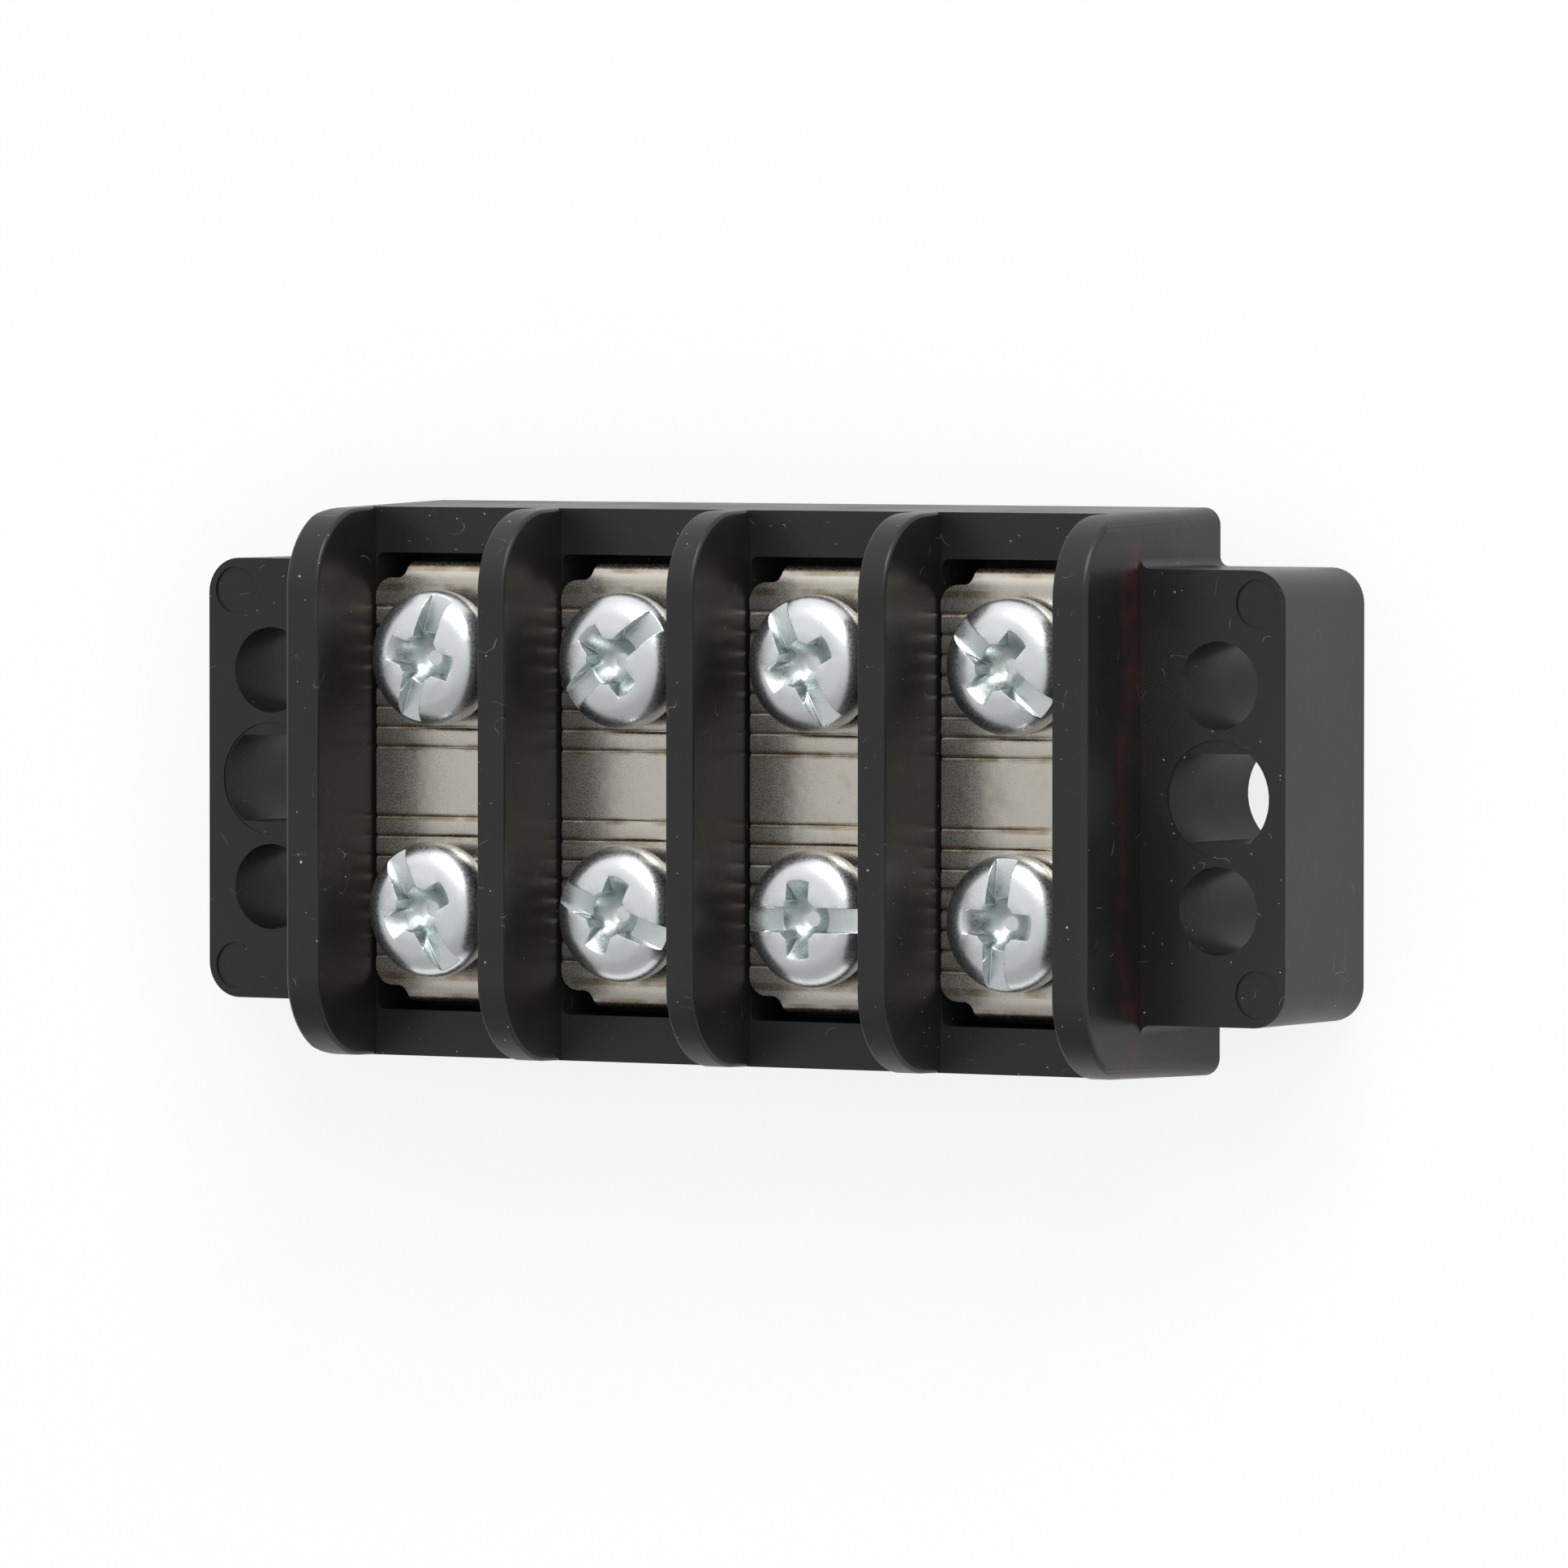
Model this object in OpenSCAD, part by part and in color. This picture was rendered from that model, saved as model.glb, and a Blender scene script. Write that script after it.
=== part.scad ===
// Barrier terminal strip: one moulded housing, a terminal strap for each pole and two screws on each strap.
// X runs along the strip, Y across it, and +Z along the screws. The mounting face lies at Z = 0, and the
// origin is the centre of that face.

/* [Poles] */
// Number of poles
poles = 4; // [2:1:6]
// Distance between neighbouring poles
pole_pitch = 11.11; // [11:0.01:12]

/* [Housing] */
// Height of the barriers above the mounting face
barrier_top = 13.8; // [13:0.1:16]
// Height of the ledges and the ears
ledge_top = 8.2; // [7.8:0.05:9]
// Width of the housing at the mounting face
base_w = 28.5; // [28:0.1:30]
// Lean of the long side faces
side_draft = 1.45; // [0.5:0.05:2]
// Thickness of a barrier along its top edge
barrier_t = 1.6; // [1.4:0.05:1.8]
// Thickness of an end barrier along its top edge
end_barrier_t = 1.96; // [1.7:0.02:2.4]
// Radius of the barriers' corners, seen along the strip
barrier_corner_r = 4.2; // [3:0.1:5]

/* [Ears] */
// Width of an ear, across the strip
ear_w = 22.65; // [22:0.05:24]
// Length of the strip over both ears
overall_len = 63.1; // [62.8:0.1:63.6]
// Radius of an ear's outer corners
ear_corner_r = 1.8; // [1:0.1:2.5]
// Radius of the round mounting holes
ear_hole_r = 2.2; // [2:0.05:2.3]
// Distance between the round holes of one ear
ear_hole_pitch = 11.16; // [11:0.02:12]
// Length of the flat-sided centre hole, along the strip
slot_len = 5.6; // [5:0.1:6]
// Width of the centre hole between its flats
slot_w = 4.44; // [4:0.02:4.6]

/* [Straps] */
// Width of a strap
strap_w = 9.0; // [8.6:0.1:9.2]
// Thickness of the strap's sheet
strap_t = 0.8; // [0.6:0.05:1]
// Length of the strap's flat plate
strap_len = 20.84; // [20:0.02:21]
// Length over the bent end tabs
tab_span = 22.5; // [22:0.05:22.8]
// Width of an end tab
tab_w = 5.4; // [4.5:0.1:5.5]
// Radius of the tapped hole
tap_r = 1.8; // [1.7:0.05:2]
// Distance between the two screws of a pole
screw_span = 12.8; // [12.6:0.1:13]
// Distance between neighbouring grip grooves
groove_pitch = 1.02; // [0.9:0.01:1.1]

/* [Screws] */
// Radius of the screw head
head_r = 3.46; // [3.3:0.02:3.6]
// Radius of the head's rounded shoulder
shoulder_r = 1.45; // [1.2:0.05:1.5]
// Height of the head's upright rim
rim_h = 0.45; // [0.3:0.05:0.6]
// Radius of the shank
shank_r = 1.75; // [1.65:0.01:1.75]
// Length of the shank under the head
shank_len = 6.35; // [6:0.05:6.6]
// Width of the driver slot
drive_slot_w = 1.2; // [1:0.05:1.4]
// Depth of the driver slot at the crown of the head
drive_slot_depth = 0.95; // [0.8:0.05:1.1]
// Direction of each upper screw's slot, in degrees from the strip's length
upper_slot_angles = [73.6, 39.9, 118.4, 140.3];
// Direction of each lower screw's slot, in degrees from the strip's length
lower_slot_angles = [119.7, 158.4, 0, 86];
// How far each upper screw stands off its strap
upper_lifts = [1.1, 1.05, 0.95, 0.4];
// How far each lower screw stands off its strap
lower_lifts = [1.4, 1.05, 0.95, 0.4];

/* [Hidden] */
$fn = 96;
e = 0.5; // how far a cut runs past the surface it opens

POLES = [1 : poles];

// Housing
barrier_draft = 0.1; // how much thicker a barrier is on each side at its root than along its edge
barrier_root_t = barrier_t + 2 * barrier_draft;
barrier_edge_r = 0.2;
end_edge_r = 0.3;
body_corner_r = 0.9;
body_half_len = poles / 2 * pole_pitch - barrier_t / 2 + end_barrier_t;
channel_w = pole_pitch - barrier_root_t;
ear_fillet_r = 0.5;

// The arc of a barrier's corner touches the top of the barrier and the leaning side of the housing
arc_z = barrier_top - barrier_corner_r;
arc_y = base_w / 2 - (barrier_corner_r + arc_z * sin(side_draft)) / cos(side_draft);
arc_y_at_ledge = arc_y + (arc_z - ledge_top) * tan(side_draft);
ear_hole_x = (poles + 1) / 2 * pole_pitch;
ejector_r = 1.2;
ejector_depth = 0.12;
ejector_inset = [1.6, 1.65]; // from the ear's end and from its side
mouth_r = slot_len / 2 + 0.1;
mouth_depth = 0.08;

// Strap seats, tab pockets and screw wells
seat_depth = 0.4;
seat_floor = ledge_top - seat_depth;
seat_len = 23.4;
seat_corner_r = 0.4;
tab_bottom = 4.0;
pocket_gap = 0.15;
pocket_near = tab_span / 2 - strap_t - 2 * pocket_gap;
well_r = 2.85;
well_bottom = 1.5;

// Straps
strap_top = seat_floor + strap_t;
plate_corner_r = 1.0;
tab_root_r = 0.45;
bend_in_r = 0.15;
bend_out_r = strap_t + bend_in_r;
collar_r = 2.6;
collar_h = 1.1;
groove_w = 0.34;
groove_depth = 0.11;
first_groove = 1.78;
grooves = 8;

// Screw heads: a crowned top runs into the rounded shoulder without a crease
crown_r = 12;
shoulder_x = head_r - shoulder_r;
crown_z = rim_h - sqrt(pow(crown_r - shoulder_r, 2) - pow(shoulder_x, 2));
crown_edge = crown_r * shoulder_x / (crown_r - shoulder_r);
head_top = crown_z + crown_r;
undercut_r = 2.9;
undercut_depth = 0.2;
cross_arm_w = 1.25;
cross_top_r = 2.35;
cross_bottom_r = 0.9;
cross_depth = 1.5;
cross_eye_r = 1.15;
cross_point_r = 0.15;
cross_point_depth = 0.4;
tip_chamfer = 0.4;

black = "#26272a";
tin = "#b9b3a6";
zinc = "#cfd3d3";

function pole_x(i) = (i - (poles + 1) / 2) * pole_pitch;
function nth(list, i) = list[(i - 1) % len(list)];

// ---------------------------------------------------------------- housing

// Outline of the body's +Y half, which reaches past the middle
module body_half_outline() {
    reach = base_w / 2;
    r = body_corner_r;
    translate([-body_half_len, -e]) square([2 * body_half_len, reach - r + e]);
    translate([r - body_half_len, -e]) square([2 * (body_half_len - r), reach + e]);
    for (s = [-1, 1]) translate([s * (body_half_len - r), reach - r]) circle(r);
}

// The space that the body stays inside, up to a height: an upright block whose long sides lean inward
module envelope(height) {
    run_out = 2;
    for (side = [0, 1]) mirror([0, side, 0]) intersection() {
        translate([0, base_w / 2, 0]) rotate([side_draft, 0, 0]) translate([0, -base_w / 2, -run_out])
            linear_extrude(height + 2 * run_out) body_half_outline();
        translate([-overall_len / 2, -e / 2, 0]) cube([overall_len, base_w, height]);
    }
}

// Section of a barrier: X is the distance from the centre of its corner arc, Y is across the barrier.
// Low and high are the two faces at the barrier's edge; each has its own draft and edge radius.
module barrier_section(low, high, low_draft, high_draft, low_r, high_r) {
    top = barrier_corner_r;
    polygon([
        [0, low - low_draft], [top - low_r, low], [top, low + low_r],
        [top, high - high_r], [top - high_r, high], [0, high + high_draft]
    ]);
    translate([top - low_r, low + low_r]) circle(low_r);
    translate([top - high_r, high - high_r]) circle(high_r);
}

// Carries the section over the top of a barrier, round both corners and down both leaning sides
module barrier_sweep() {
    down = (arc_z - ledge_top) / cos(side_draft) + 2 * barrier_corner_r * tan(side_draft);
    translate([0, -arc_y, arc_z]) rotate([0, -90, -90]) linear_extrude(2 * arc_y) children();
    for (side = [0, 1]) mirror([0, side, 0]) translate([0, arc_y, arc_z]) {
        rotate([90, 0, 90]) rotate(side_draft) rotate_extrude(angle = 90 - side_draft) children();
        rotate([side_draft, 0, 0]) rotate([180, 0, 90]) linear_extrude(down) children();
    }
}

// The plain middle of a barrier, between its two end strips and under its top strip
module web(low, high) {
    translate([low, 0, 0]) rotate([90, 0, 90]) linear_extrude(high - low)
        polygon([
            [-arc_y, arc_z], [-arc_y_at_ledge, ledge_top], [arc_y_at_ledge, ledge_top], [arc_y, arc_z]
        ]);
}

module above_ledge() {
    intersection() {
        children();
        translate([-overall_len / 2, -base_w / 2, ledge_top]) cube([overall_len, base_w, barrier_top]);
    }
}

module middle_barrier() {
    half = barrier_t / 2;
    above_ledge() barrier_sweep()
        barrier_section(-half, half, barrier_draft, barrier_draft, barrier_edge_r, barrier_edge_r);
    web(-half - barrier_draft, half + barrier_draft);
}

// The barrier at the +X end, whose outer face is upright and carries on down to the mounting face
module end_barrier() {
    low = -barrier_t / 2;
    high = low + end_barrier_t;
    above_ledge() barrier_sweep()
        barrier_section(low, high, barrier_draft, 0, barrier_edge_r, end_edge_r);
    web(low - barrier_draft, high);
}

// The base block and the two end barriers, with the body's rounded corners over their full height
module body() {
    intersection() {
        envelope(barrier_top + e);
        union() {
            translate([-overall_len / 2, -base_w / 2, 0]) cube([overall_len, base_w, ledge_top]);
            for (s = [0, 1]) mirror([s, 0, 0]) translate([poles / 2 * pole_pitch, 0, 0]) end_barrier();
        }
    }
}

// Outline of the ear at the +X end, with a small fillet where it meets the base block
module ear_outline() {
    r = ear_corner_r;
    far = overall_len / 2;
    near = body_half_len;
    overlap = 2; // how far the outline reaches into the body
    translate([near - overlap, -ear_w / 2]) square([far - r - near + overlap, ear_w]);
    translate([near - overlap, r - ear_w / 2]) square([far - near + overlap, ear_w - 2 * r]);
    for (s = [-1, 1]) {
        translate([far - r, s * (ear_w / 2 - r)]) circle(r);
        difference() {
            translate([near + ear_fillet_r / 2, s * (ear_w / 2 + ear_fillet_r / 2)])
                square(ear_fillet_r, center = true);
            translate([near + ear_fillet_r, s * (ear_w / 2 + ear_fillet_r)]) circle(ear_fillet_r);
        }
    }
}

module flat_sided_hole(r, width) {
    intersection() {
        circle(r);
        square([3 * r, width], center = true);
    }
}

// The ear's three through holes and its two shallow ejector marks
module ear_cuts() {
    mark_x = overall_len / 2 - ejector_inset[0];
    mark_y = ear_w / 2 - ejector_inset[1];
    translate([ear_hole_x, 0, -e]) linear_extrude(ledge_top + 2 * e) flat_sided_hole(slot_len / 2, slot_w);
    translate([ear_hole_x, 0, ledge_top - mouth_depth]) cylinder(r = mouth_r, h = e);
    for (s = [-1, 1]) {
        translate([ear_hole_x, s * ear_hole_pitch / 2, -e]) cylinder(r = ear_hole_r, h = ledge_top + 2 * e);
        translate([mark_x, s * mark_y, ledge_top - ejector_depth]) cylinder(r = ejector_r, h = e);
    }
}

module rounded_rectangle(size, r) {
    square([size[0], size[1] - 2 * r], center = true);
    square([size[0] - 2 * r, size[1]], center = true);
    for (x = [-1, 1], y = [-1, 1]) translate([x * (size[0] / 2 - r), y * (size[1] / 2 - r)]) circle(r);
}

module seat_outline() {
    rounded_rectangle([channel_w, seat_len], seat_corner_r);
}

// What one pole takes out of the housing: the strap's seat, the pockets for its tabs and the screw wells
module pole_cuts() {
    translate([0, 0, seat_floor]) linear_extrude(seat_depth + e) seat_outline();
    for (side = [0, 1]) mirror([0, side, 0]) {
        translate([0, 0, tab_bottom - pocket_gap]) linear_extrude(seat_floor - tab_bottom + 2 * pocket_gap)
            intersection() {
                seat_outline();
                translate([-channel_w, pocket_near]) square([2 * channel_w, seat_len]);
            }
        translate([0, screw_span / 2, well_bottom]) cylinder(r = well_r, h = ledge_top - well_bottom);
    }
}

module housing() {
    color(black) difference() {
        union() {
            body();
            for (i = [1 : poles - 1]) translate([pole_x(i) + pole_pitch / 2, 0, 0]) middle_barrier();
            for (s = [0, 1]) mirror([s, 0, 0]) linear_extrude(ledge_top) ear_outline();
        }
        for (s = [0, 1]) mirror([s, 0, 0]) ear_cuts();
        for (i = POLES) translate([pole_x(i), 0, 0]) pole_cuts();
    }
}

// ---------------------------------------------------------------- straps

// Outline of the strap's +Y half: the plate with its rounded corners, the tab and the fillets at its root
module strap_half_outline() {
    r = tab_root_r;
    end = strap_len / 2;
    intersection() {
        rounded_rectangle([strap_w, strap_len], plate_corner_r);
        translate([-strap_w, -e]) square([2 * strap_w, strap_len]);
    }
    translate([-tab_w / 2, 0]) square([tab_w, tab_span]);
    for (s = [-1, 1]) difference() {
        translate([s * (tab_w + r) / 2, end]) square([r, 2 * r], center = true);
        translate([s * (tab_w / 2 + r), end + r]) circle(r);
    }
}

// The strap's +Y half seen from its edge: the flat plate, the bend and the leg
module strap_half_profile() {
    bend_y = tab_span / 2 - bend_out_r;
    bend_z = strap_top - bend_out_r;
    translate([-e, seat_floor]) square([bend_y + e, strap_t]);
    translate([bend_y, bend_z]) intersection() {
        difference() {
            circle(bend_out_r);
            circle(bend_in_r);
        }
        square(bend_out_r);
    }
    translate([tab_span / 2 - strap_t, tab_bottom]) square([strap_t, bend_z - tab_bottom]);
}

// One V groove across the strap
module groove() {
    translate([-strap_w, 0, strap_top]) rotate([90, 0, 90]) linear_extrude(2 * strap_w)
        polygon([[-groove_w / 2, 0], [0, -groove_depth], [groove_w / 2, 0], [0, groove_depth]]);
}

module strap(i) {
    color(tin) translate([pole_x(i), 0, 0]) difference() {
        for (side = [0, 1]) mirror([0, side, 0]) {
            intersection() {
                translate([-strap_w, 0, 0]) rotate([90, 0, 90])
                    linear_extrude(2 * strap_w) strap_half_profile();
                linear_extrude(barrier_top) strap_half_outline();
            }
            translate([0, screw_span / 2, seat_floor - collar_h])
                cylinder(r = collar_r, h = collar_h + strap_t / 2);
        }
        for (side = [0, 1]) mirror([0, side, 0]) {
            translate([0, screw_span / 2, seat_floor - collar_h - e])
                cylinder(r = tap_r, h = collar_h + strap_t + 2 * e);
            for (k = [0 : grooves - 1]) translate([0, first_groove + k * groove_pitch, 0]) groove();
        }
    }
}

// ---------------------------------------------------------------- screws

// Half section of the head, from its underside at Y = 0
module head_profile() {
    square([head_r, rim_h]);
    intersection() {
        translate([shoulder_x, rim_h]) circle(shoulder_r);
        square([head_r, head_top]);
    }
    intersection() {
        translate([0, crown_z]) circle(crown_r);
        square([crown_edge, head_top]);
    }
}

// The cross recess, which narrows like a cone towards its pointed floor
module cross_recess() {
    intersection() {
        linear_extrude(cross_depth + e) {
            square([3 * cross_top_r, cross_arm_w], center = true);
            square([cross_arm_w, 3 * cross_top_r], center = true);
            circle(cross_eye_r);
        }
        cylinder(r1 = cross_bottom_r, r2 = cross_top_r, h = cross_depth + e / 2);
    }
    translate([0, 0, -cross_point_depth])
        cylinder(r1 = cross_point_r, r2 = cross_bottom_r, h = cross_point_depth);
}

// A binding-head screw at the origin, with its slot along X and the head's underside at Z = 0
module binding_screw() {
    difference() {
        union() {
            rotate_extrude() head_profile();
            translate([0, 0, tip_chamfer - shank_len])
                cylinder(r = shank_r, h = shank_len - tip_chamfer + rim_h);
            translate([0, 0, -shank_len]) cylinder(r1 = shank_r - tip_chamfer, r2 = shank_r, h = tip_chamfer);
        }
        difference() {
            translate([0, 0, undercut_depth - e]) cylinder(r = undercut_r, h = e);
            translate([0, 0, -2 * e]) cylinder(r = shank_r, h = 4 * e);
        }
        translate([-2 * head_r, -drive_slot_w / 2, head_top - drive_slot_depth])
            cube([4 * head_r, drive_slot_w, head_top]);
        translate([0, 0, head_top - cross_depth]) cross_recess();
    }
}

module upper_screw(i) {
    color(zinc) translate([pole_x(i), screw_span / 2, strap_top + nth(upper_lifts, i)])
        rotate(nth(upper_slot_angles, i)) binding_screw();
}

module lower_screw(i) {
    color(zinc) translate([pole_x(i), -screw_span / 2, strap_top + nth(lower_lifts, i)])
        rotate(nth(lower_slot_angles, i)) binding_screw();
}

housing();
for (i = POLES) {
    strap(i);
    upper_screw(i);
    lower_screw(i);
}
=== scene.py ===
"""Barrier terminal strip: the looks of the moulded housing, its four straps and its eight screws.

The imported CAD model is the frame. Softened copies of its solids stand for the nodes, each screw
gets its rolled thread, and every surface has a procedural material.
"""

import logging
import math
from dataclasses import dataclass
from enum import Enum
from typing import Callable, Optional, Union

import bmesh
import bpy
from mathutils import Matrix, Vector
from mathutils.kdtree import KDTree

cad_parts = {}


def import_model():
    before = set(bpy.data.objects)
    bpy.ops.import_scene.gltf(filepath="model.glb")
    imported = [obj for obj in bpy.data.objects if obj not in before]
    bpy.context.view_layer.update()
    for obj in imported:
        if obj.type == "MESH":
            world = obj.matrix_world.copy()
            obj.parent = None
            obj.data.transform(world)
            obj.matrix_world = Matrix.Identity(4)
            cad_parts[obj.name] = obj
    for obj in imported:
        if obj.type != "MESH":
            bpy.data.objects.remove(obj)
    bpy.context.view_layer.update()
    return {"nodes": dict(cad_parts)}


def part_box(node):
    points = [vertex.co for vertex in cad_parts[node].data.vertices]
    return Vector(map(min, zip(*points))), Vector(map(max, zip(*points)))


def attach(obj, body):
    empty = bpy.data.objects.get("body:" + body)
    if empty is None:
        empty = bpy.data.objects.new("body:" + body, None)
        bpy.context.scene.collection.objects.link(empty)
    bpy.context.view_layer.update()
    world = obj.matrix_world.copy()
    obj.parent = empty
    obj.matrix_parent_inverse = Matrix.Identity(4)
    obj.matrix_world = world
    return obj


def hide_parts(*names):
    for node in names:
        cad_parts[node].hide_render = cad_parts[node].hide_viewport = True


LOG = logging.getLogger("terminal_strip")
MM = 0.001
POLES = range(1, 5)
ROWS = ("upper", "lower")


# ---------------------------------------------------------------- shader maths


class Signal:
    """A socket of a material's node tree that Python's arithmetic can use."""

    def __init__(self, bench: "Bench", socket: bpy.types.NodeSocket) -> None:
        """Wraps a socket.

        Args:
            bench: The material's bench, which makes the nodes.
            socket: The output socket that carries the value.
        """
        self.bench = bench
        self.socket = socket

    def _maths(self, how: str, *terms: "Term") -> "Signal":
        """Adds one Math node.

        Args:
            how: The Math node's operation.
            terms: What goes into its sockets, in order.

        Returns:
            The node's result.
        """
        return self.bench.wire("ShaderNodeMath", {"operation": how}, dict(enumerate(terms)))

    def __add__(self, other: "Term") -> "Signal":
        """Sum."""
        return self._maths("ADD", self, other)

    def __radd__(self, other: "Term") -> "Signal":
        """Sum, from the right."""
        return self._maths("ADD", other, self)

    def __sub__(self, other: "Term") -> "Signal":
        """Difference."""
        return self._maths("SUBTRACT", self, other)

    def __rsub__(self, other: "Term") -> "Signal":
        """Difference, from the right."""
        return self._maths("SUBTRACT", other, self)

    def __mul__(self, other: "Term") -> "Signal":
        """Product."""
        return self._maths("MULTIPLY", self, other)

    def __rmul__(self, other: "Term") -> "Signal":
        """Product, from the right."""
        return self._maths("MULTIPLY", other, self)

    def __truediv__(self, other: "Term") -> "Signal":
        """Quotient."""
        return self._maths("DIVIDE", self, other)

    def size(self) -> "Signal":
        """The value without its sign."""
        return self._maths("ABSOLUTE", self)

    def most(self, other: "Term") -> "Signal":
        """The larger of two values."""
        return self._maths("MAXIMUM", self, other)

    def least(self, other: "Term") -> "Signal":
        """The smaller of two values."""
        return self._maths("MINIMUM", self, other)

    def fract(self) -> "Signal":
        """The part after the decimal point."""
        return self._maths("FRACT", self)

    def rise(self, low: float, high: float, to_low: float = 0.0, to_high: float = 1.0) -> "Signal":
        """A smooth step.

        Args:
            low: Where the step starts.
            high: Where it ends.
            to_low: The result up to low.
            to_high: The result from high on.

        Returns:
            The stepped value.
        """
        return self.bench.wire(
            "ShaderNodeMapRange",
            {"interpolation_type": "SMOOTHSTEP"},
            {"Value": self, "From Min": low, "From Max": high, "To Min": to_low, "To Max": to_high},
        )

    def band(self, middle: float, half: float, soft: float) -> "Signal":
        """A mask that is 1 near one value.

        Args:
            middle: The middle of the band.
            half: Half of its width.
            soft: How far its edges fade.

        Returns:
            The mask, from 0 to 1.
        """
        return (self - middle).size().rise(half, half + soft, 1.0, 0.0)


Term = Union[Signal, float, int]
Colour = tuple[float, float, float]


class Bench:
    """Builds one material's nodes."""

    def __init__(self, name: str, roughness: float, metallic: float = 0.0, ior: float = 1.5) -> None:
        """Makes an empty Principled material.

        Args:
            name: The material's name.
            roughness: Its plain roughness.
            metallic: 1 for a metal.
            ior: Its index of refraction.
        """
        self.material = bpy.data.materials.new(name)
        self.material.use_nodes = True
        self.tree = self.material.node_tree
        self.shader = self.tree.nodes["Principled BSDF"]
        self.shader.inputs["Roughness"].default_value = roughness
        self.shader.inputs["Metallic"].default_value = metallic
        self.shader.inputs["IOR"].default_value = ior

    def add(self, kind: str, settings: dict, inputs: dict) -> bpy.types.Node:
        """Adds a node.

        Args:
            kind: The node's type.
            settings: Its own settings, which are set first.
            inputs: The values or signals of its sockets, by name or number.

        Returns:
            The node.
        """
        node = self.tree.nodes.new(kind)
        for key, value in settings.items():
            setattr(node, key, value)
        for key, value in inputs.items():
            if isinstance(value, Signal):
                self.tree.links.new(value.socket, node.inputs[key])
            elif isinstance(value, tuple) and node.inputs[key].type == "RGBA":
                node.inputs[key].default_value = (*value, 1.0)
            else:
                node.inputs[key].default_value = value
        return node

    def wire(self, kind: str, settings: dict, inputs: dict, output: Union[str, int] = 0) -> Signal:
        """Adds a node and hands back one of its outputs.

        Args:
            kind: The node's type.
            settings: Its own settings.
            inputs: The values or signals of its sockets.
            output: The output's name or number.

        Returns:
            The output as a signal.
        """
        return Signal(self, self.add(kind, settings, inputs).outputs[output])

    def place(self) -> Signal:
        """The point on the piece, in metres."""
        return self.wire("ShaderNodeTexCoord", {}, {}, "Object")

    def axes(self, vector: Signal) -> tuple[Signal, Signal, Signal]:
        """The three parts of a vector.

        Args:
            vector: The vector.

        Returns:
            Its X, Y and Z, each divided by a millimetre.
        """
        node = self.add("ShaderNodeSeparateXYZ", {}, {0: vector})
        x, y, z = (Signal(self, node.outputs[k]) / MM for k in range(3))
        return x, y, z

    def noise(self, place: Signal, size: float, detail: float = 2.0, warp: float = 0.0) -> Signal:
        """Cloudy noise.

        Args:
            place: Where to read it.
            size: The size of its features, in metres.
            detail: How many finer layers it has.
            warp: How much it is distorted.

        Returns:
            The noise, about 0.5 on average.
        """
        return self.wire(
            "ShaderNodeTexNoise",
            {},
            {"Vector": place, "Scale": 1.0 / size, "Detail": detail, "Distortion": warp},
            "Fac",
        )

    def specks(self, place: Signal, spacing: float, radius: float, share: float) -> Signal:
        """Scattered round specks.

        Args:
            place: Where to read them.
            spacing: The size of a cell, in metres.
            radius: The radius of the largest speck, in metres.
            share: The share of the cells that hold one.

        Returns:
            A mask that is 1 on the specks.
        """
        cell = self.add(
            "ShaderNodeTexVoronoi", {}, {"Vector": place, "Scale": 1.0 / spacing, "Randomness": 1.0}
        )
        chance = self.wire("ShaderNodeSeparateColor", {}, {0: Signal(self, cell.outputs["Color"])})
        reach = (chance - (1.0 - share)).most(0.0) * (radius / spacing / share)
        distance = Signal(self, cell.outputs["Distance"])
        return (reach - distance).rise(-0.3 * radius / spacing, 0.3 * radius / spacing) * chance.rise(
            1.0 - share, 1.0 - 0.9 * share
        )

    def mix(self, amount: Term, first: Union[Signal, Colour], second: Union[Signal, Colour]) -> Signal:
        """Blends two colours.

        Args:
            amount: 0 for the first, 1 for the second.
            first: A colour.
            second: A colour.

        Returns:
            The blended colour.
        """
        return self.wire("ShaderNodeMix", {"data_type": "RGBA"}, {0: amount, 6: first, 7: second}, 2)

    def bump(
        self, height: Signal, depth: float, strength: float = 1.0, under: Optional[Signal] = None
    ) -> Signal:
        """Turns a height into a bumped normal.

        Args:
            height: The height, from 0 to 1.
            depth: The height of 1, in metres.
            strength: How much of it shows.
            under: A normal that this one adds to.

        Returns:
            The normal.
        """
        inputs = {"Height": height, "Distance": depth, "Strength": strength}
        if under is not None:
            inputs["Normal"] = under
        return self.wire("ShaderNodeBump", {}, inputs)

    def stored(self, name: str) -> Signal:
        """A value that the mesh carries.

        Args:
            name: The attribute's name.

        Returns:
            The value.
        """
        return self.wire("ShaderNodeAttribute", {"attribute_name": name}, {}, "Fac")

    def feed(self, socket: str, signal: Signal) -> None:
        """Links a signal to the surface.

        Args:
            socket: The surface's socket.
            signal: What feeds it.
        """
        self.tree.links.new(signal.socket, self.shader.inputs[socket])


# ---------------------------------------------------------------- finishes


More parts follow.
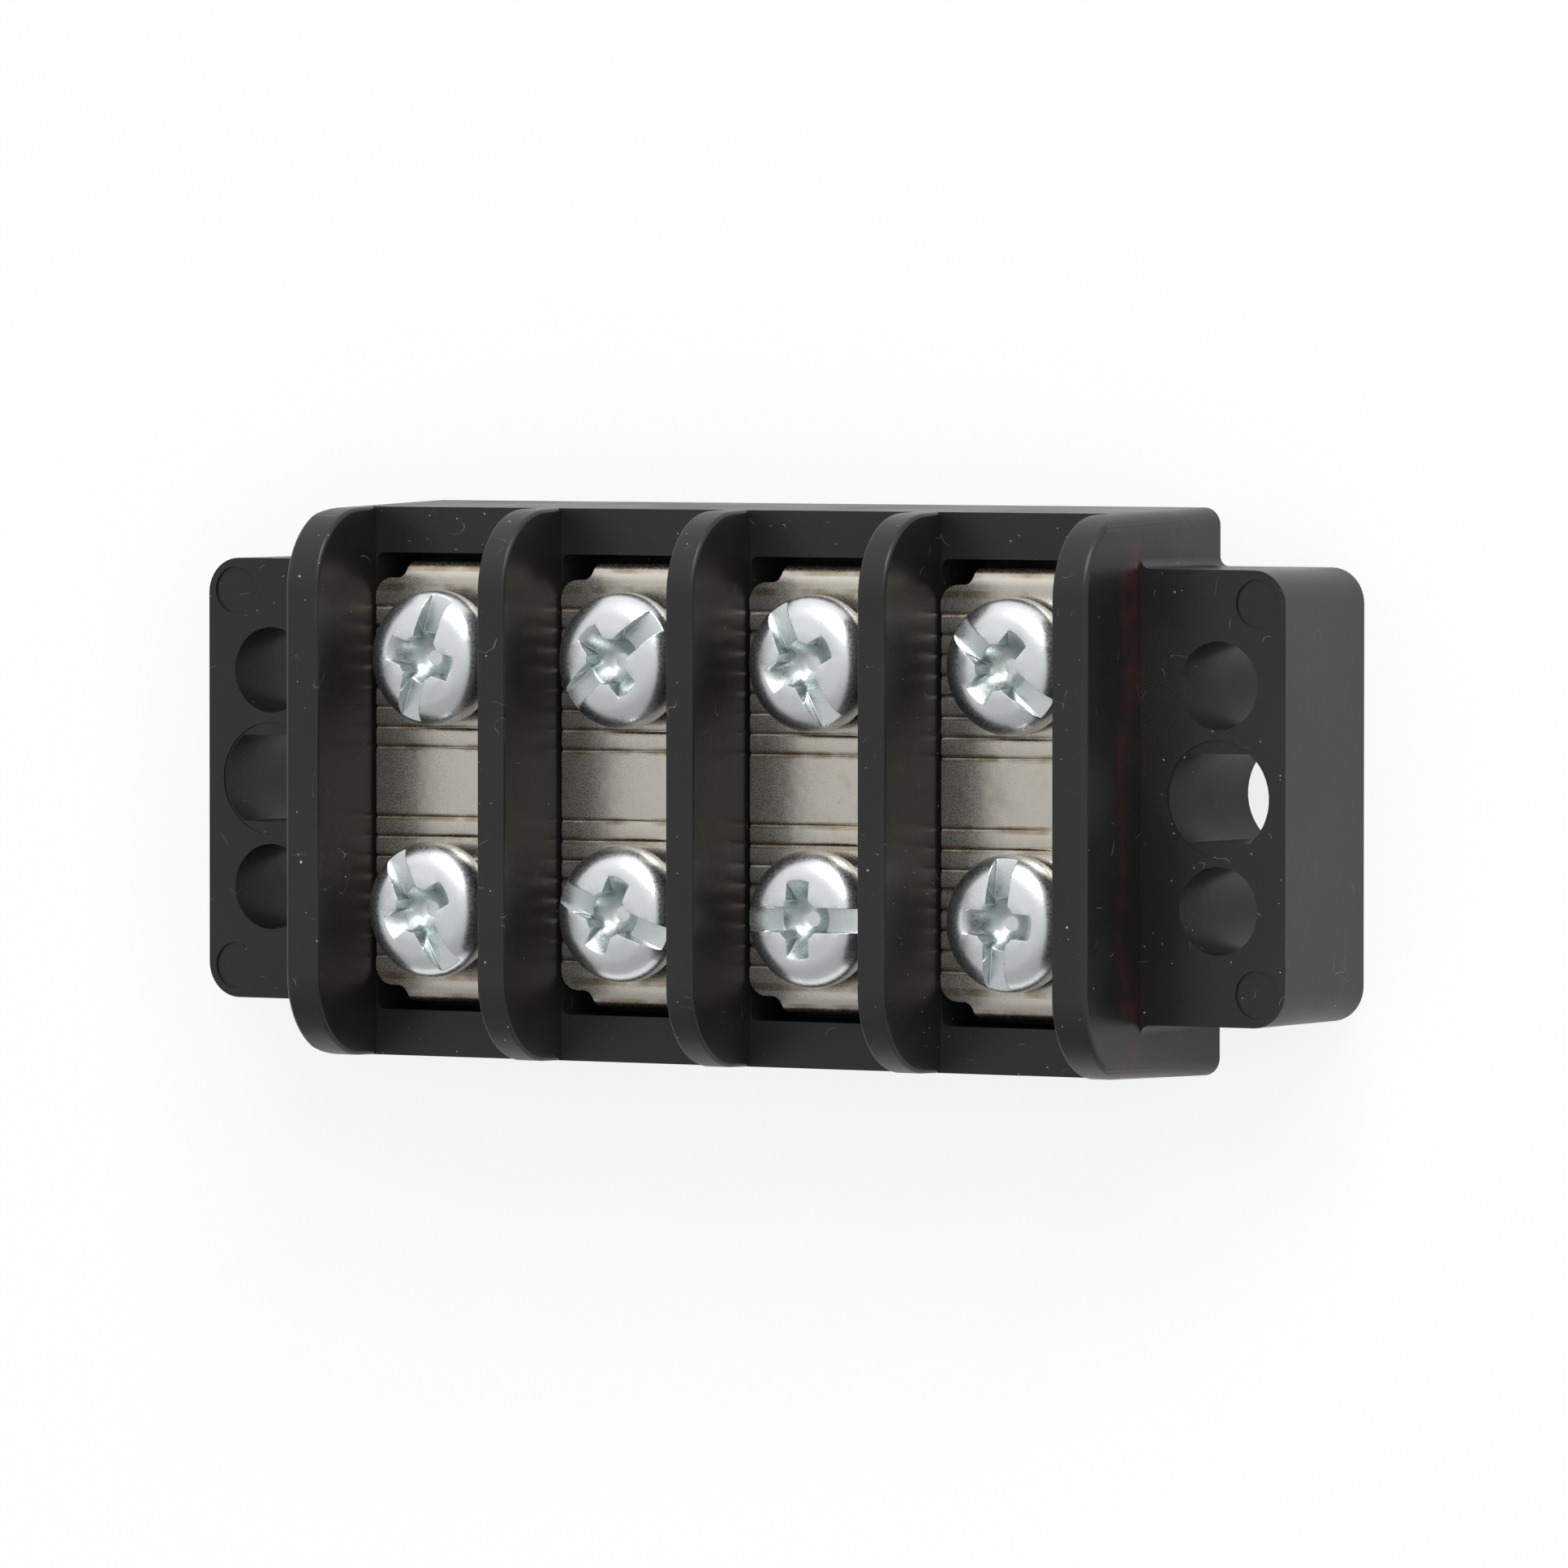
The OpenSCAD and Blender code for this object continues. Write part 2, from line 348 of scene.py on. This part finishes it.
@dataclass(frozen=True)
class MouldedPlastic:
    """Black phenolic moulding with a soft gloss, handled and dusty."""

    name: str = "black_moulded_plastic"
    colour: Colour = (0.0082, 0.008, 0.0078)
    smudge: Colour = (0.017, 0.0162, 0.015)
    dust: Colour = (0.5, 0.46, 0.4)
    lint: Colour = (0.15, 0.135, 0.105)
    blush: Colour = (0.06, 0.012, 0.01)
    roughness: float = 0.33
    end_face: float = 23.38
    blush_height: float = 9.4

    def make(self) -> bpy.types.Material:
        """The finished material."""
        bench = Bench(self.name, self.roughness, ior=1.45)
        place = bench.place()
        broad = bench.noise(place, 7 * MM, 3.0)
        peel = bench.noise(place, 0.45 * MM, 2.0)
        grain = bench.noise(place, 0.09 * MM, 1.0)
        dust = self._dust(bench, place, broad)
        lint = self._lint(bench, place)
        film = broad.rise(0.38, 0.75) * grain.rise(0.3, 0.8)
        base = bench.mix(film, self.colour, self.smudge)
        base = bench.mix(self._blush(bench, place, peel), base, self.blush)
        base = bench.mix(dust, base, self.dust)
        bench.feed("Base Color", bench.mix(lint, base, self.lint))
        bench.feed("Roughness", self.roughness + broad.rise(0.35, 0.7) * 0.1 + dust.most(lint) * 0.4)
        soft = bench.bump(peel, 0.008 * MM)
        bench.feed("Normal", bench.bump(grain, 0.0016 * MM, 1.0, soft))
        return bench.material

    @staticmethod
    def _dust(bench: Bench, place: Signal, broad: Signal) -> Signal:
        """Grains of dust.

        Args:
            bench: The material's bench.
            place: The point on the piece.
            broad: Slow noise, which gathers the grains.

        Returns:
            A mask that is 1 on the grains.
        """
        coarse = bench.specks(place, 1.4 * MM, 0.075 * MM, 0.5)
        fine = bench.specks(place, 0.55 * MM, 0.045 * MM, 0.6)
        return (coarse + fine * 0.8).least(1.0) * broad.rise(0.3, 0.62, 0.35, 1.0)

    @staticmethod
    def _lint(bench: Bench, place: Signal) -> Signal:
        """Short curled fibres: pieces of a slow noise's contour lines.

        Args:
            bench: The material's bench.
            place: The point on the piece.

        Returns:
            A mask that is 1 on the fibres.
        """
        contour = (bench.noise(place, 1.9 * MM, 0.0, 0.6) - 0.5).size().rise(0.0015, 0.004, 1.0, 0.0)
        patch = bench.noise(place, 1.3 * MM, 0.0).rise(0.69, 0.72)
        return contour * patch * 0.8

    def _blush(self, bench: Bench, place: Signal, peel: Signal) -> Signal:
        """The reddish resin that shows along the foot of the +X end wall.

        Args:
            bench: The material's bench.
            place: The point on the piece.
            peel: Fine noise, which breaks it up.

        Returns:
            The mask.
        """
        x, _, z = bench.axes(place)
        streak = bench.noise(place, 2.4 * MM, 2.0).rise(0.4, 0.7)
        return x.band(self.end_face, 0.2, 0.2) * z.band(self.blush_height, 0.5, 1.0) * streak * peel * 0.8


@dataclass(frozen=True)
class TinnedBrass:
    """Dull tin plate over brass, with painted shade along its grooves and random stains and pits."""

    name: str = "tinned_brass"
    colour: Colour = (0.62, 0.59, 0.525)
    # the darker plate colour: painted shade along the grooves, and random stains and pits elsewhere
    stain_and_groove_shade: Colour = (0.34, 0.26, 0.175)
    rough_low: float = 0.22
    rough_high: float = 0.38
    first_groove: float = 1.78
    groove_pitch: float = 1.02

    def make(self) -> bpy.types.Material:
        """The finished material."""
        bench = Bench(self.name, self.rough_low, 1.0)
        place = bench.place()
        cloud = bench.noise(place, 1.6 * MM, 4.0)
        mottle = bench.noise(place, 0.07 * MM, 3.0)
        wave = bench.noise(place, 0.9 * MM, 1.0)
        pits = bench.specks(place, 0.9 * MM, 0.06 * MM, 0.2)
        _, y, _ = bench.axes(place)
        # painted shade: a band over each groove darkens the plate there, on top of the grooves' own
        # modelled shape
        beat = (y.size() - self.first_groove) / self.groove_pitch + 0.5
        groove_shade = ((beat.fract() - 0.5).size() * self.groove_pitch).rise(0.12, 0.26, 1.0, 0.0)
        groove_shade = groove_shade * y.size().rise(self.first_groove - 0.4, self.first_groove - 0.3)
        # the darker colour's mask: painted shade in the grooves, plus random cloudy stains and pits
        stain_and_groove_shade = groove_shade * cloud.rise(0.35, 0.6, 0.1, 0.8) + cloud.rise(0.55, 0.8) * 0.3 + pits * 0.8
        bench.feed("Base Color", bench.mix(stain_and_groove_shade.least(1.0), self.colour, self.stain_and_groove_shade))
        bench.feed("Roughness", mottle.rise(0.35, 0.65, self.rough_low, self.rough_high))
        soft = bench.bump(wave, 0.012 * MM)
        bench.feed("Normal", bench.bump(mottle, 0.0012 * MM, 1.0, soft))
        return bench.material


@dataclass(frozen=True)
class BrightZinc:
    """Zinc plate with a clear chromate, greenish where it pools in the recess."""

    name: str = "bright_zinc"
    colour: Colour = (0.77, 0.795, 0.81)
    pooled: Colour = (0.5, 0.565, 0.55)
    tarnish: Colour = (0.42, 0.40, 0.38)
    roughness: float = 0.25

    def make(self) -> bpy.types.Material:
        """The finished material."""
        bench = Bench(self.name, self.roughness, 1.0)
        place = bench.place()
        cloud = bench.noise(place, 1.1 * MM, 3.0)
        mottle = bench.noise(place, 0.14 * MM, 3.0)
        pits = bench.specks(place, 0.55 * MM, 0.045 * MM, 0.25)
        recess = bench.stored(BindingScrew.RECESS)
        base = bench.mix(recess, self.colour, self.pooled)
        base = bench.mix((cloud.rise(0.55, 0.85) * 0.2 + pits * 0.6).least(1.0), base, self.tarnish)
        bench.feed("Base Color", base)
        bench.feed("Roughness", self.roughness + mottle.rise(0.3, 0.7) * 0.1)
        bench.feed("Normal", bench.bump(mottle, 0.0005 * MM))
        return bench.material


@dataclass(frozen=True)
class WhiteGround:
    """The white paper that the strip lies on."""

    name: str = "white_ground"
    colour: Colour = (0.82, 0.82, 0.82)
    glow_share: float = 0.82
    glossy_share: float = 0.52

    def make(self) -> bpy.types.Material:
        """The finished material, which stays white to the eye and keeps the strip's shadow."""
        bench = Bench(self.name, 0.9)
        bench.shader.inputs["Base Color"].default_value = (*self.colour, 1.0)
        path = bench.add("ShaderNodeLightPath", {}, {})
        camera = Signal(bench, path.outputs["Is Camera Ray"])
        glossy = Signal(bench, path.outputs["Is Glossy Ray"])
        seen = camera.most(Signal(bench, path.outputs["Is Transmission Ray"]))
        share = (seen * self.glow_share).most(glossy * self.glossy_share)
        glow = bench.add("ShaderNodeEmission", {}, {"Color": (1.0, 1.0, 1.0), "Strength": 1.0})
        blend = bench.add("ShaderNodeMixShader", {}, {0: share})
        bench.tree.links.new(bench.shader.outputs[0], blend.inputs[1])
        bench.tree.links.new(glow.outputs[0], blend.inputs[2])
        out = bench.tree.nodes["Material Output"]
        bench.tree.links.new(blend.outputs[0], out.inputs["Surface"])
        return bench.material


# ---------------------------------------------------------------- meshes


class Body(Enum):
    """How bodies are named in the frame."""

    BASE = "base"


class Solid:
    """A merged copy of a CAD node, with its sharp edges eased."""

    MERGE = 0.0002 * MM
    FLAT = math.radians(0.3)
    CREASE = math.radians(12)
    ROOM = 2.2  # the clear width that an edge needs beside it, for each unit of its rounding

    def __init__(self, node: bpy.types.Object) -> None:
        """Copies the node's mesh.

        Args:
            node: The CAD node.
        """
        self.mesh = bmesh.new()
        self.mesh.from_mesh(node.data)
        bmesh.ops.remove_doubles(self.mesh, verts=self.mesh.verts, dist=self.MERGE)
        bmesh.ops.dissolve_limit(
            self.mesh, angle_limit=self.FLAT, verts=self.mesh.verts, edges=self.mesh.edges
        )
        self.mesh.edges.index_update()

    def ease(
        self,
        radius: float,
        sharp: float = 40.0,
        segments: int = 2,
        spared: Optional[Callable[[Vector], bool]] = None,
    ) -> None:
        """Rounds the sharp edges that have room for it.

        Args:
            radius: How far the rounding reaches from an edge, in metres.
            sharp: The smallest angle of an edge that is rounded, in degrees.
            segments: How many faces the rounding has across it.
            spared: Tells of a point whether an edge there is left as it is.
        """
        edges = self._bent(math.radians(sharp))
        if spared is not None:
            edges = {e for e in edges if not spared(e.verts[0].co)}
        room = self.ROOM * radius
        creased = list({v for e in self._bent(self.CREASE) for v in e.verts})
        tree = KDTree(len(creased))
        for number, vert in enumerate(creased):
            tree.insert(vert.co, number)
        tree.balance()
        chosen = []
        for run in self._runs(edges):
            if not any(self._crowded(edge, creased, tree, room) for edge in run):
                chosen += run
        bmesh.ops.bevel(
            self.mesh,
            geom=chosen,
            offset=radius,
            offset_type="OFFSET",
            segments=segments,
            profile=0.5,
            affect="EDGES",
            clamp_overlap=False,
            loop_slide=True,
            material=-1,
        )
        bmesh.ops.triangulate(self.mesh, faces=[f for f in self.mesh.faces if len(f.verts) > 4])

    def _bent(self, angle: float) -> set[bmesh.types.BMEdge]:
        """The edges whose faces meet at more than an angle, in radians."""
        return {e for e in self.mesh.edges if e.calc_face_angle(0.0) > angle}

    @staticmethod
    def _runs(edges: set[bmesh.types.BMEdge]) -> list[list[bmesh.types.BMEdge]]:
        """Groups edges that follow one another without a fork.

        Args:
            edges: The edges.

        Returns:
            The groups, from the lowest edge number on.
        """
        waiting = dict.fromkeys(sorted(edges, key=lambda e: e.index))
        runs = []
        while waiting:
            edge = next(iter(waiting))
            del waiting[edge]
            run, ends = [edge], list(edge.verts)
            while ends:
                near = [e for e in ends.pop().link_edges if e in edges]
                for other in near if len(near) == 2 else ():
                    if other in waiting:
                        del waiting[other]
                        run.append(other)
                        ends.extend(other.verts)
            runs.append(run)
        return runs

    @staticmethod
    def _crowded(
        edge: bmesh.types.BMEdge, creased: list[bmesh.types.BMVert], tree: KDTree, room: float
    ) -> bool:
        """Tells whether another crease lies too close beside an edge.

        Args:
            edge: The edge.
            creased: The vertices on creases.
            tree: The same vertices, for searching.
            room: The free distance that the edge needs.

        Returns:
            True where there is no room.
        """
        first, second = edge.verts
        own = {v for end in edge.verts for e in end.link_edges for v in e.verts}
        span = second.co - first.co
        for _, number, _ in tree.find_range((first.co + second.co) / 2, span.length / 2 + room):
            vert = creased[number]
            if vert in own:
                continue
            share = (vert.co - first.co).dot(span) / span.length_squared
            foot = first.co + span * max(0.0, min(1.0, share))
            if (vert.co - foot).length < room:
                return True
        return False

    def piece(self, name: str, material: bpy.types.Material, sharp: float = 40.0) -> bpy.types.Object:
        """Makes the finished piece.

        Args:
            name: The piece's name.
            material: Its finish.
            sharp: The smallest angle that stays a crease, in degrees.

        Returns:
            The piece, at the origin.
        """
        data = bpy.data.meshes.new(name)
        for face in self.mesh.faces:
            face.smooth = True
        for edge in self.mesh.edges:
            edge.smooth = not edge.is_manifold or edge.calc_face_angle() < math.radians(sharp)
        self.mesh.to_mesh(data)
        self.mesh.free()
        data.materials.append(material)
        thing = bpy.data.objects.new(name, data)
        bpy.context.scene.collection.objects.link(thing)
        weigh = thing.modifiers.new("flat_faces", "WEIGHTED_NORMAL")
        weigh.keep_sharp = True
        return thing


# ---------------------------------------------------------------- sub-assemblies


@dataclass
class Housing:
    """The moulded housing with its five barriers and two ears."""

    node: str = "housing"
    edge_ease: float = 0.1 * MM
    ear_hole_x: float = 27.775 * MM
    hole_zone: tuple[float, float] = (3.2 * MM, 8.2 * MM)

    def _at_hole(self, spot: Vector) -> bool:
        """Tells whether a point is on a mounting hole, whose mouth is crisp."""
        return abs(abs(spot.x) - self.ear_hole_x) < self.hole_zone[0] and abs(spot.y) < self.hole_zone[1]

    def build(self, nodes: dict[str, bpy.types.Object], finish: bpy.types.Material) -> bpy.types.Object:
        """Builds the housing.

        Args:
            nodes: The CAD nodes by name.
            finish: The moulding's material.

        Returns:
            The piece.
        """
        solid = Solid(nodes[self.node])
        solid.ease(self.edge_ease, spared=self._at_hole)
        shell = solid.piece("housing_moulding", finish)
        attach(shell, Body.BASE.value)
        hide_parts(self.node)
        return shell


@dataclass
class TerminalStrap:
    """One pole's plated strap."""

    pole: int
    edge_ease: float = 0.05 * MM

    def build(self, nodes: dict[str, bpy.types.Object], finish: bpy.types.Material) -> bpy.types.Object:
        """Builds the strap.

        Args:
            nodes: The CAD nodes by name.
            finish: The plate's material.

        Returns:
            The piece.
        """
        node = f"strap_{self.pole}"
        solid = Solid(nodes[node])
        solid.ease(self.edge_ease, 50.0)
        plate = solid.piece(f"terminal_strap_{self.pole}", finish)
        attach(plate, Body.BASE.value)
        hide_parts(node)
        return plate


@dataclass
class BindingScrew:
    """One binding-head screw with its rolled thread."""

    row: str
    pole: int
    head_height: float = 2.09 * MM
    crown_radius: float = 12.0 * MM
    shank_radius: float = 1.75 * MM
    shank_length: float = 6.35 * MM
    root_radius: float = 1.33 * MM
    tip_radius: float = 1.2236 * MM
    ridge_foot: float = 1.2901 * MM
    thread_pitch: float = 0.794 * MM
    flank: float = 0.3573 * MM
    crest: float = 0.05558 * MM
    lead_in: float = 0.6 * MM
    lead_radius: float = 1.197 * MM
    lead_slope: float = 0.9
    edge_ease: float = 0.05 * MM
    undercut: float = 0.2 * MM
    core_top: float = 0.32 * MM
    steps_per_turn: int = 36
    recess_reach: float = 2.6988 * MM
    recess_foot: float = 0.34 * MM
    recess_rim: float = 0.15 * MM
    recess_fade: float = 0.625 * MM
    RECESS = "recess"

    def build(self, nodes: dict[str, bpy.types.Object], finish: bpy.types.Material) -> bpy.types.Object:
        """Builds the screw.

        Args:
            nodes: The CAD nodes by name.
            finish: The plate's material.

        Returns:
            The piece.
        """
        node = f"screw_{self.row}_{self.pole}"
        low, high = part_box(node)
        axis = Vector(((low.x + high.x) / 2, (low.y + high.y) / 2, low.z + self.shank_length))
        solid = Solid(nodes[node])
        self._take_off_shank(solid.mesh, axis)
        solid.ease(self.edge_ease)
        self._add_thread(solid.mesh, axis)
        self._mark_recess(solid.mesh, axis)
        screw = solid.piece(f"binding_screw_{self.row}_{self.pole}", finish)
        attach(screw, node)
        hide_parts(node)
        return screw

    def _take_off_shank(self, mesh: bmesh.types.BMesh, axis: Vector) -> None:
        """Removes the plain shank and closes the head.

        Args:
            mesh: The screw's mesh.
            axis: The middle of the head's underside.
        """
        reach = self.shank_radius * 1.02
        loose = []
        for face in mesh.faces:
            spot = face.calc_center_median() - axis
            if math.hypot(spot.x, spot.y) < reach and spot.z < self.undercut * 0.9:
                loose.append(face)
        bmesh.ops.delete(mesh, geom=loose, context="FACES")
        rim = [e for e in mesh.edges if e.is_boundary]
        bmesh.ops.contextual_create(mesh, geom=rim)

    def _add_thread(self, mesh: bmesh.types.BMesh, axis: Vector) -> None:
        """Adds the shank's core and the helical ridge round it.

        Args:
            mesh: The screw's mesh.
            axis: The middle of the head's underside.
        """
        length = self.shank_length + self.core_top
        bmesh.ops.create_cone(
            mesh,
            cap_ends=True,
            segments=self.steps_per_turn,
            radius1=self.tip_radius,
            radius2=self.root_radius,
            depth=length,
            matrix=Matrix.Translation(axis + Vector((0, 0, self.core_top - length / 2))),
        )
        turns = (length - self.thread_pitch) / self.thread_pitch
        steps = int(turns * self.steps_per_turn)
        start = axis - Vector((0, 0, self.shank_length))
        profile = [
            (self.ridge_foot, -self.flank),
            (self.shank_radius, -self.crest),
            (self.shank_radius, self.crest),
            (self.ridge_foot, self.flank),
        ]
        middle = start + Vector((0, 0, self.thread_pitch / 2))
        verts = [mesh.verts.new(middle + Vector((r, 0, z))) for r, z in profile]
        first = mesh.faces.new(verts)
        bmesh.ops.spin(
            mesh,
            geom=[first],
            axis=(0, 0, 1),
            cent=axis,
            dvec=(0, 0, self.thread_pitch / self.steps_per_turn),
            angle=math.tau * steps / self.steps_per_turn,
            steps=steps,
            use_merge=False,
        )
        self._taper_tip(mesh, start)

    def _taper_tip(self, mesh: bmesh.types.BMesh, tip: Vector) -> None:
        """Runs the ridge out into the core at the screw's tip.

        Args:
            mesh: The screw's mesh.
            tip: The middle of the tip's end face.
        """
        for vert in mesh.verts:
            rise = vert.co.z - tip.z
            limit = self.lead_radius + rise * self.lead_slope
            reach = math.hypot(vert.co.x - tip.x, vert.co.y - tip.y)
            if rise < self.lead_in and reach > limit:
                vert.co.x = tip.x + (vert.co.x - tip.x) * limit / reach
                vert.co.y = tip.y + (vert.co.y - tip.y) * limit / reach

    def _mark_recess(self, mesh: bmesh.types.BMesh, axis: Vector) -> None:
        """Stores how deep each point lies under the crown.

        Args:
            mesh: The screw's mesh.
            axis: The middle of the head's underside.
        """
        layer = mesh.verts.layers.float.new(self.RECESS)
        for vert in mesh.verts:
            spot = vert.co - axis
            reach = math.hypot(spot.x, spot.y)
            crown = self.head_height - reach * reach / (2 * self.crown_radius)
            depth = crown - spot.z
            inside = reach < self.recess_reach and spot.z > self.recess_foot
            share = (depth - self.recess_rim) / self.recess_fade
            vert[layer] = min(1.0, max(0.0, share)) if inside else 0.0


@dataclass(frozen=True)
class Lamp:
    """One soft rectangular lamp."""

    name: str
    place: tuple[float, float, float]
    width: float
    height: float
    watts: float
    mirrored: bool
    aim: tuple[float, float, float] = (0.0, 0.0, 0.006)

    def build(self) -> None:
        """Hangs the lamp and turns it to what it faces."""
        data = bpy.data.lights.new(self.name, "AREA")
        data.shape = "RECTANGLE"
        data.size, data.size_y = self.width, self.height
        data.energy = self.watts
        lamp = bpy.data.objects.new(self.name, data)
        lamp.location = self.place
        lamp.rotation_mode = "QUATERNION"
        lamp.rotation_quaternion = (Vector(self.aim) - Vector(self.place)).to_track_quat("-Z", "Y")
        lamp.visible_glossy = self.mirrored
        bpy.context.scene.collection.objects.link(lamp)


@dataclass
class Studio:
    """The white ground, the lamps and the world."""

    ground_side: float = 3.0
    ground_drop: float = 0.01 * MM
    lamps: tuple[Lamp, ...] = (
        Lamp("lamp_above", (0.25, 0.75, 0.55), 0.7, 0.5, 6.0, True),
        Lamp("lamp_front", (0.55, 0.05, 0.75), 0.7, 0.7, 4.0, False),
    )
    fill: float = 0.55
    glossy_low: float = 0.45
    glossy_high: float = 1.05
    glossy_turn: float = 0.6

    def build(self) -> None:
        """Builds the ground, the lamps and the world."""
        self._ground()
        for lamp in self.lamps:
            lamp.build()
        self._world()

    def _ground(self) -> None:
        """Lays the white ground under the strip."""
        data = bpy.data.meshes.new("ground")
        mesh = bmesh.new()
        bmesh.ops.create_grid(mesh, x_segments=1, y_segments=1, size=self.ground_side / 2)
        bmesh.ops.translate(mesh, verts=mesh.verts, vec=(0, 0, -self.ground_drop))
        mesh.to_mesh(data)
        mesh.free()
        data.materials.append(WhiteGround().make())
        ground = bpy.data.objects.new("ground", data)
        bpy.context.scene.collection.objects.link(ground)

    def _world(self) -> None:
        """Sets the surroundings: white to the eye, and darker towards -Y in what gloss mirrors."""
        world = bpy.data.worlds.new("white_room")
        bpy.context.scene.world = world
        world.use_nodes = True
        tree = world.node_tree
        path = tree.nodes.new("ShaderNodeLightPath")
        side = tree.nodes.new("ShaderNodeSeparateXYZ")
        toward = tree.nodes.new("ShaderNodeTexCoord")
        tree.links.new(toward.outputs["Generated"], side.inputs[0])
        shade = tree.nodes.new("ShaderNodeMapRange")
        shade.inputs["From Min"].default_value = -self.glossy_turn
        shade.inputs["From Max"].default_value = self.glossy_turn
        shade.inputs["To Min"].default_value = self.glossy_low
        shade.inputs["To Max"].default_value = self.glossy_high
        tree.links.new(side.outputs["Y"], shade.inputs["Value"])
        level = self.fill
        for ray, strength in (("Is Glossy Ray", shade.outputs[0]), ("Is Camera Ray", 1.0)):
            pick = tree.nodes.new("ShaderNodeMix")
            tree.links.new(path.outputs[ray], pick.inputs[0])
            for socket, term in ((pick.inputs[2], level), (pick.inputs[3], strength)):
                if isinstance(term, float):
                    socket.default_value = term
                else:
                    tree.links.new(term, socket)
            level = pick.outputs[0]
        back = tree.nodes["Background"]
        back.inputs["Color"].default_value = (1.0, 1.0, 1.0, 1.0)
        tree.links.new(level, back.inputs["Strength"])


@dataclass(frozen=True)
class ViewPoint:
    """Where the camera stands and how long its lens is."""

    yaw: float = math.radians(30.5)
    pitch: float = math.radians(2.053)
    roll: float = math.radians(0.022)
    distance: float = 0.7219
    aside: float = 1.713 * MM
    above: float = 0.035 * MM
    lens: float = 325.29
    sensor: float = 36.0

    def build(self) -> bpy.types.Object:
        """Sets up the camera.

        Returns:
            The camera.
        """
        toward = Vector(
            (
                math.sin(self.yaw) * math.cos(self.pitch),
                math.sin(self.pitch),
                math.cos(self.yaw) * math.cos(self.pitch),
            )
        )
        level = Vector((math.cos(self.yaw), 0.0, -math.sin(self.yaw)))
        upright = toward.cross(level)
        right = level * math.cos(self.roll) + upright * math.sin(self.roll)
        up = upright * math.cos(self.roll) - level * math.sin(self.roll)
        data = bpy.data.cameras.new("camera")
        data.lens = self.lens
        data.sensor_width = self.sensor
        data.clip_start, data.clip_end = 0.01, 10.0
        camera = bpy.data.objects.new("camera", data)
        turn = Matrix((right, up, toward)).transposed().to_4x4()
        place = toward * self.distance - right * self.aside - up * self.above
        camera.matrix_world = Matrix.Translation(place) @ turn
        bpy.context.scene.collection.objects.link(camera)
        bpy.context.scene.camera = camera
        return camera


def main() -> None:
    """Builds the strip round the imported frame."""
    logging.basicConfig(level=logging.INFO, format="%(name)s: %(message)s")
    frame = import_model()
    nodes = frame["nodes"]
    ViewPoint().build()
    Studio().build()
    plastic, tin, zinc = MouldedPlastic().make(), TinnedBrass().make(), BrightZinc().make()
    LOG.info("made %s", Housing().build(nodes, plastic).name)
    for pole in POLES:
        LOG.info("made %s", TerminalStrap(pole).build(nodes, tin).name)
    for row in ROWS:
        for pole in POLES:
            LOG.info("made %s", BindingScrew(row, pole).build(nodes, zinc).name)
    bpy.context.scene.view_settings.view_transform = "Standard"


if __name__ == "__main__":
    main()
